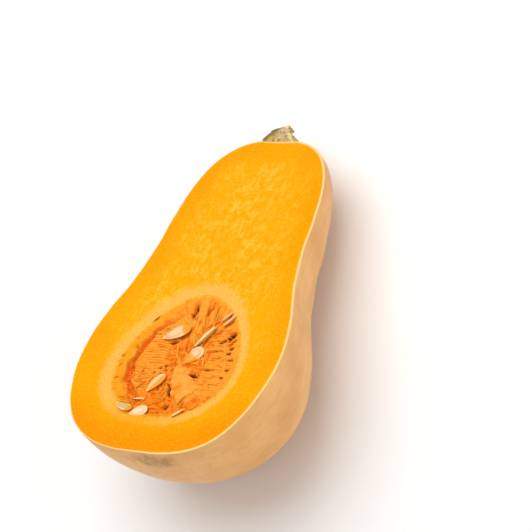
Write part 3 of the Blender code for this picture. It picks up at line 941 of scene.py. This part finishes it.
def comb_fibre(draw, side, place):
    outer = draw.uniform(-28, -25) if side < 0 else draw.uniform(31, 34)
    inner = draw.uniform(-14, -8) if side < 0 else draw.uniform(19, 25)
    slope = draw.uniform(-1.2, 1.2)
    wave = draw.uniform(-0.6, 0.6)
    points = []
    for step in range(7):
        part = step / 6
        x = outer + (inner - outer) * part
        y = place + slope * part + wave * math.sin(2 * math.pi * part)
        points.append((x, y, 0.15))
    fibre_splines(points, draw.uniform(0.6, 1.1))


def tangle_fibre(draw):
    x, y = draw.uniform(-26, 26), draw.uniform(28, 56)
    heading = draw.uniform(0, 2 * math.pi)
    turn = draw.uniform(-0.45, 0.45)
    step_length = draw.uniform(0.8, 1.7)
    points = []
    for step in range(9):
        if mouth_share(Vector((x, y, 0)) * MM) > 0.95 or placenta_share(x, y) > 0.2:
            break
        points.append((x, y, draw.uniform(0, 0.3) + 0.6 * math.sin(math.pi * step / 8)))
        x += step_length * math.cos(heading)
        y += step_length * math.sin(heading)
        heading += turn
    if len(points) > 4:
        fibre_splines(points, draw.uniform(0.35, 0.95))


def rim_fibre(draw, number):
    angle = 2 * math.pi * (number + draw.uniform(-0.4, 0.4)) / RIM_FIBRES
    reach = cavity_reach(angle, 0) / MM
    length = draw.uniform(2, 4)
    points = []
    for step in range(5):
        away = reach * 0.995 - length * step / 4
        bend = angle + draw.uniform(-0.02, 0.02)
        points.append((*from_middle(bend, away), 0.1))
    fibre_splines(points, draw.uniform(0.4, 0.8))


fibres = bpy.data.curves.new("pulp_fibres", "CURVE")
fibres.dimensions = "3D"
fibres.bevel_depth = FIBRE_RADIUS
fibres.bevel_resolution = FIBRE_ROUNDNESS
fibres.use_fill_caps = True
draw = random.Random(11)
for radius, through in MAIN_STRANDS:
    main_strand(radius, through)
for number in range(FAN_FIBRES):
    fan_fibre(draw, number)
for side, low, high in COMB_ROWS:
    place = low
    while place < high:
        comb_fibre(draw, side, place)
        place += COMB_SPACING * draw.uniform(0.8, 1.2)
for number in range(TANGLE_FIBRES):
    tangle_fibre(draw)
for number in range(RIM_FIBRES):
    rim_fibre(draw, number)
strands = bpy.data.objects.new("pulp_fibres", fibres)
bpy.context.scene.collection.objects.link(strands)
select_only(strands)
bpy.ops.object.convert(target="MESH")
edit(strands)
bpy.ops.mesh.select_all(action="SELECT")
bpy.ops.mesh.remove_doubles(threshold=FIBRE_WELD)
leave_edit()
outward(strands)
store_parts(
    strands,
    ridge=lambda x, y: 0.6 + ruffle(x, y, 4),
    bottom=lambda x, y: 0.6 * bottom_of_bed(x, y),
)
strands.data.materials.append(pulp_finish("pulp_strands", *STRAND_TONES))
settle(strands)
smooth(strands, 80)
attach(strands, "root")

# Seeds
# Flat cream teardrops with a smooth hard coat and a raised margin, lying as they fell when the knife
# went through: some flat on the pulp, some on edge, a few cut open or still under a wet orange film.
SEED_SIZE = Vector((17.5, 9.2, 2.8)) * MM
SEED_LIFT = 0.6 * MM
SEED_TAPER = 0.34
SEED_SIDES = 56
SEED_RINGS = 34
SEED_BODY = 0.8
CREAM = {"body": (232, 200, 158), "edge": (244, 208, 146), "film": (242, 154, 30)}
GOLD = {"body": (244, 212, 158), "edge": (250, 220, 164), "film": (243, 158, 42)}
TAN = {"body": (246, 206, 132), "edge": (255, 232, 170), "film": (238, 184, 100)}
GREY = {"body": (206, 186, 124), "edge": (240, 220, 172), "film": (238, 150, 40)}
WHITE = {"body": (236, 210, 170), "edge": (238, 212, 164), "film": (240, 190, 110)}

# Where a film starts and is whole, as shares of the seed's half size along its axis 0 or 1
BLUNT_END = (-0.2, -0.7, 0)
BLUNT_TIP = (-0.3, -0.9, 0)
POINTED_END = (-0.3, 0.3, 0)
ONE_SIDE = (-0.3, 0.7, 1)
BARE = (2, 3, 0)

# Each seed's place and heading on the cut, its roll on to its edge, its size, how far it lies above
# the pulp in millimetres, its coat and its film
SEEDS = (
    ((-7.9, 85.2), 209, 12, 1.09, 0.4, CREAM, BLUNT_END),
    ((12.3, 83.8), 240, 52, 1.02, -1.4, TAN, BARE),
    ((21.2, 99.2), 55, -50, 0.5, -0.9, WHITE, BARE),
    ((24.2, 96.6), 57, -50, 0.62, -1.1, WHITE, BARE),
    ((10.2, 69.6), 235, -10, 0.84, 0, CREAM, POINTED_END),
    ((-6.8, 48.6), 240, 14, 0.86, 0.2, GOLD, ONE_SIDE),
    ((-14.5, 38.8), 2, -54, 0.58, -0.9, WHITE, BARE),
    ((-20.7, 30), 160, 28, 0.7, 0, GREY, BLUNT_TIP),
    ((-10, 27.9), 203, -8, 0.68, 0.3, WHITE, BARE),
    ((17.2, 28.6), 44, -48, 0.54, -0.9, TAN, BARE),
)
SEED_VEIN = paint(200, 156, 100)
SEED_BLOOM = paint(236, 210, 172)


def make_seed_shape():
    """One seed lying along X, narrow end at +X, with a swollen body inside a raised flat margin."""
    deselect()
    bpy.ops.mesh.primitive_uv_sphere_add(segments=SEED_SIDES, ring_count=SEED_RINGS, radius=1)
    shape = bpy.context.object
    for vertex in shape.data.vertices:
        x, y, z = vertex.co
        away = min(math.hypot(x, y), 1)
        swell = SEED_BODY * math.sqrt(max(1 - (away / SEED_BODY) ** 2, 0))
        margin = 0.34 * math.exp(-(((away - 0.9) / 0.07) ** 2)) + 0.2
        thick = (swell + margin) * math.sqrt(1 - away**10) if abs(z) > 0.001 else 0
        slim = (1 - SEED_TAPER * x) * (1 - 0.3 * ease(x, 0.55, 1))
        vertex.co = Vector((x, y * slim, math.copysign(thick, z) * (0.7 + 0.3 * slim))) * SEED_SIZE / 2
    return shape


def seed_finish(name, tones):
    """Hard coat with a pale margin, under patches of wet film."""
    satin = {
        "Roughness": 0.4,
        "Specular IOR Level": 0.2,
        "Subsurface Weight": 0.12,
        "Subsurface Radius": (1.0, 0.7, 0.4),
        "Subsurface Scale": 0.001,
        "Coat Weight": 0.15,
        "Coat Roughness": 0.12,
    }
    material, tree, shader = new_finish(name, satin)
    place = cut_place(tree)
    body, edge, film = (paint(*tones[part]) for part in ("body", "edge", "film"))
    margin = attribute(tree, "margin")
    tone = layer(tree, body, film, margin, 0.3, 0.75, 0.55)
    tone = layer(tree, tone, edge, margin, 0.78, 0.88)
    veins = grain(tree, place, 2.4, 4, 0.65)
    tone = layer(tree, tone, SEED_VEIN, veins, 0.5, 0.72, 0.4)
    tone = layer(tree, tone, SEED_BLOOM, veins, 0.46, 0.32, 0.5)
    ragged = math_node(tree, "MULTIPLY_ADD", grain(tree, place, 3, 3, 0.6), 0.8, attribute(tree, "film"))
    tone = layer(tree, tone, film, ragged, 0.7, 1.1)
    tree.links.new(tone, shader.inputs["Base Color"])
    bump(tree, shader, grain(tree, place, 0.8), 0.0002, 0.35)
    return material


def lay_seed(x, y, heading, roll, size, lift):
    """The turn and the place that lay a seed on the pulp."""
    roll = math.radians(roll)
    stand = SEED_SIZE.y * size * abs(math.sin(roll)) / 4
    height = (bed_height(x, y) + lift) * MM + SEED_LIFT + stand
    turn = Matrix.Rotation(math.radians(heading), 4, "Z") @ Matrix.Rotation(roll, 4, "X")
    return Matrix.Translation((x * MM, y * MM, height)) @ turn @ Matrix.Scale(size, 4)


def margin_share(vertex):
    """0 in the middle of a seed and 1 at its tips."""
    return math.hypot(vertex.co.x / SEED_SIZE.x, vertex.co.y / SEED_SIZE.y) * 2


seed_shape = make_seed_shape()
store(seed_shape, "margin", margin_share)
coats = {}
for number, (at, heading, roll, size, lift, tones, film) in enumerate(SEEDS, 1):
    piece = bpy.data.objects.new(f"seed_{number:02d}", seed_shape.data.copy())
    bpy.context.scene.collection.objects.link(piece)
    start, end, axis = film
    half = SEED_SIZE[axis] / 2
    store(piece, "film", lambda vertex: min(max((vertex.co[axis] / half - start) / (end - start), 0), 1))
    piece.data.transform(lay_seed(*at, heading, roll, size, lift))
    key = tones["body"]
    if key not in coats:
        coats[key] = seed_finish(f"seed_coat_{len(coats) + 1}", tones)
    piece.data.materials.append(coats[key])
    settle(piece)
    smooth(piece, 60)
    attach(piece, "root")
bpy.data.objects.remove(seed_shape)

# Stem stub
# The short corky stub left where the fruit was picked: fluted, flared over the fruit's end, dry and
# cracked, and split by the same cut, which shows its pale pith inside darker bark.
STEM_RADII = ((-5, 12.6), (1, 12), (3.5, 9.4), (7, 6.9), (9.8, 6.2), (11.2, 4.7))
STEM_TOP = 11.2
STEM_FOOT = -4
STEM_RINGS = 26
STEM_TURNS = 100
STEM_FLUTES = 5
STEM_FLUTE_DEPTH = 0.13
STEM_FLUTE_PHASE = math.radians(90)
STEM_LEAN = -0.16
STEM_SLANT = 0.3
STEM_DROP = 1.5 * MM
STEM_CUT_SHY = 0.15 * MM
STEM_FLARE = ((0, 0.9), (2.3, 2.5), (4.1, 3.2), (6.4, 3.1), (8.5, 2.2), (11.2, 1.8))
STEM_PINCH = ((0, 2.4), (3, 1), (5.5, 1.3), (7.6, 2.9), (10, 0.9), (11.2, 0.2))
KNOT_SIZE = 3.2 * MM
KNOB_SIZE = 1.3 * MM
TOP_ROUGHNESS = 1.4 * MM


def stem_point(angle, height):
    """A point on the stub's side, at a height in millimetres above the fruit's end."""
    radius = curve_through(STEM_RADII, height * MM)
    flute = 1 + STEM_FLUTE_DEPTH * math.cos(STEM_FLUTES * angle + STEM_FLUTE_PHASE)
    x = radius * math.cos(angle)
    z = radius * math.sin(angle)
    place = height * MM + STEM_SLANT * x * max(height, 0) / STEM_TOP
    return Vector((x * flute + STEM_LEAN * height * MM, FRUIT_LENGTH + place, z * flute - STEM_DROP))


def shape_bark(place):
    """Takes a place on the plain tube to its place on the knotty stub."""
    height = place.y
    point = stem_point(math.atan2(place.z, place.x), height)
    knots = noise.noise(point / KNOT_SIZE) * 0.9 + noise.noise(point / KNOB_SIZE) * 0.4
    right = ease(point.x / MM, 0, 5)
    away = Vector((point.x, 0, point.z)).normalized()
    point += away * knots * (0.8 + 0.9 * right) * MM * ease(height, -3, 2)
    left = ease(-point.x / MM, 0, 5)
    above = max(height, 0) * MM
    point.x -= left * curve_through(STEM_FLARE, above) + right * curve_through(STEM_PINCH, above)
    point.y += noise.noise(point / (3 * MM) + Vector((5, 0, 0))) * TOP_ROUGHNESS * ease(height, 5, 10)
    return point


def make_stem():
    deselect()
    bpy.ops.mesh.primitive_circle_add(vertices=STEM_TURNS, radius=1, rotation=(math.pi / 2, 0, 0))
    stem = bpy.context.object
    stem.name = "stem_stub_cork"
    bpy.ops.object.transform_apply(location=False, rotation=True, scale=False)
    for vertex in stem.data.vertices:
        vertex.co.y = STEM_FOOT
    select_where(stem, lambda vertex: True)
    heights = [STEM_FOOT + (STEM_TOP - STEM_FOOT) * ring / STEM_RINGS for ring in range(STEM_RINGS + 1)]
    extrude_rim(stem, [lambda place, y=height: Vector((place.x, y, place.z)) for height in heights[1:]])
    bpy.ops.mesh.edge_face_add()
    leave_edit()
    select_where(stem, lambda vertex: vertex.is_boundary)
    bpy.ops.mesh.edge_face_add()
    leave_edit()
    for vertex in stem.data.vertices:
        vertex.co = shape_bark(vertex.co)
    edit(stem)
    bpy.ops.mesh.select_all(action="SELECT")
    bpy.ops.mesh.bisect(plane_co=(0, 0, -STEM_CUT_SHY), plane_no=(0, 0, 1), use_fill=True, clear_outer=True)
    leave_edit()
    return stem


stem = make_stem()
outward(stem)


STEM_OLIVE = paint(176, 146, 54)
STEM_SAND = paint(208, 172, 100)
STEM_SHADE = paint(112, 98, 44)
STEM_RIGHT = paint(202, 168, 102)
STEM_RIDGE = paint(244, 216, 150)
STEM_CRACK = paint(104, 80, 46)
BARK_TONES = paint(214, 184, 118), paint(184, 148, 80), paint(128, 98, 44)
PITH_TONES = paint(216, 186, 146), paint(186, 152, 118), paint(150, 122, 80)


def stem_finish(name, tones, cracks):
    """Dry fibres: olive on the left with a darker left edge of painted shade, mauve-grey and cracked in the
    middle, and a cream ridge on the right.
    """
    light, middle, dark = tones
    material, tree, shader = new_finish(name, {"Roughness": 0.85})
    place = cut_place(tree)
    across, along, _ = parts_of(tree, place)
    fibres_along = grain(tree, cut_place(tree, (1, 2.2, 1)), 1.5, 4, 0.65)
    patches = grain(tree, place, 2.6, 3, 0.6)
    tone = blend(tree, between(tree, fibres_along, 0.35, 0.65), middle, light)
    from_left = math_node(tree, "MULTIPLY_ADD", patches, 6, across)
    tone = layer(tree, tone, STEM_OLIVE, from_left, 0.5, -2.5, 0.85)
    tone = layer(tree, tone, dark, patches, 0.52, 0.64)
    tone = layer(tree, tone, STEM_SAND, along, 246.5, 242.5, 0.6)
    # Painted shade: the stub's far left edge is darkened beyond a slanted line.
    left_edge_shade = math_node(tree, "MULTIPLY_ADD", along, -0.6, across)
    left_edge_shade = math_node(tree, "MULTIPLY_ADD", grain(tree, place, 1.4, 3, 0.7), 4, left_edge_shade)
    tone = layer(tree, tone, STEM_SHADE, left_edge_shade, -151.2, -152.6, 0.8)
    slanted = math_node(tree, "MULTIPLY_ADD", along, 0.69, across)
    slanted = math_node(tree, "MULTIPLY_ADD", grain(tree, place, 1.9, 4, 0.75), 6, slanted)
    tone = layer(tree, tone, STEM_RIGHT, slanted, 175.5, 176.7)
    ridge = product(tree, between(tree, slanted, 175.5, 176.5), between(tree, slanted, 179, 177.6, 0, 0.85))
    tone = blend(tree, ridge, tone, STEM_RIDGE)
    tone = layer(tree, tone, STEM_CRACK, grain(tree, place, 2.1, 4, 0.65), 0.47, 0.36, cracks)
    tree.links.new(tone, shader.inputs["Base Color"])
    low = bump(tree, shader, fibres_along, 0.0009, 0.8)
    bump(tree, shader, grain(tree, place, 0.7, 4, 0.7), 0.0005, 0.7, low)
    return material


stem.data.materials.append(stem_finish("cork", BARK_TONES, 0.9))
stem.data.materials.append(stem_finish("pith", PITH_TONES, 0.85))
for face in stem.data.polygons:
    face.material_index = int(face.normal.z > 0.95)
settle(stem)
smooth(stem, 45)
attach(stem, "root")
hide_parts("stem_stub")

# Studio
# A plain pale floor under soft light, seen through a long lens from above the blossom end's right,
# with the camera rolled so that the fruit leans to the left as it does in the photograph.
SHOT_AZIMUTH = 45.8
SHOT_ELEVATION = 41.8
SHOT_ROLL = -32.15
SHOT_DISTANCE = 1.438
SHOT_TARGET = Vector((6.4, 113.9, 0)) * MM
SHOT_ASIDE = Vector((30.05, 18.45)) * MM
SHOT_LENS = 163.5
FLOOR_SIZE = 6.0
FLOOR_WHITE = (0.9, 0.9, 0.9, 1)
SKY_STRENGTH = 0.5

deselect()
bpy.ops.mesh.primitive_plane_add(size=FLOOR_SIZE)
floor = bpy.context.object
floor.name = "studio_floor"
floor.data.materials.append(new_finish("studio_white", {"Roughness": 0.9, "Base Color": FLOOR_WHITE})[0])
floor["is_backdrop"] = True

world = bpy.data.worlds.new("studio")
bpy.context.scene.world = world
world.use_nodes = True
world.node_tree.nodes["Background"].inputs["Color"].default_value = (1, 1, 1, 1)
world.node_tree.nodes["Background"].inputs["Strength"].default_value = SKY_STRENGTH


def softbox(name, place, size, power):
    light = bpy.data.lights.new(name, "AREA")
    light.shape = "SQUARE"
    light.size = size
    light.energy = power
    lamp = bpy.data.objects.new(name, light)
    bpy.context.scene.collection.objects.link(lamp)
    lamp.location = place
    lamp.rotation_euler = (-Vector(place)).to_track_quat("-Z", "Y").to_euler()


softbox("key_light", (-0.15, 0.4, 1.6), 1.5, 22)
softbox("fill_light", (1.6, -0.5, 1.0), 1.4, 5)

azimuth, elevation, roll = (math.radians(value) for value in (SHOT_AZIMUTH, SHOT_ELEVATION, SHOT_ROLL))
level = Vector((math.cos(azimuth), math.sin(azimuth), 0))
flat = math.cos(elevation)
back = Vector((flat * math.sin(azimuth), -flat * math.cos(azimuth), math.sin(elevation)))
right = level * math.cos(roll) + back.cross(level) * math.sin(roll)
up = back.cross(right)
eye = CUT @ (SHOT_TARGET + back * SHOT_DISTANCE)
aim = CUT @ (SHOT_TARGET + right * SHOT_ASIDE.x + up * SHOT_ASIDE.y)
look = (eye - aim).normalized()
side = (CUT.to_3x3() @ up).cross(look).normalized()
pose = Matrix((side, look.cross(side), look)).transposed().to_4x4()
pose.translation = eye
camera_data = bpy.data.cameras.new("camera")
camera_data.lens = SHOT_LENS
camera_data.sensor_width = 36
camera_data.clip_end = 20
camera = bpy.data.objects.new("camera", camera_data)
bpy.context.scene.collection.objects.link(camera)
camera.matrix_world = pose
bpy.context.scene.camera = camera
bpy.context.scene.view_settings.view_transform = "Standard"

low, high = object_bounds()
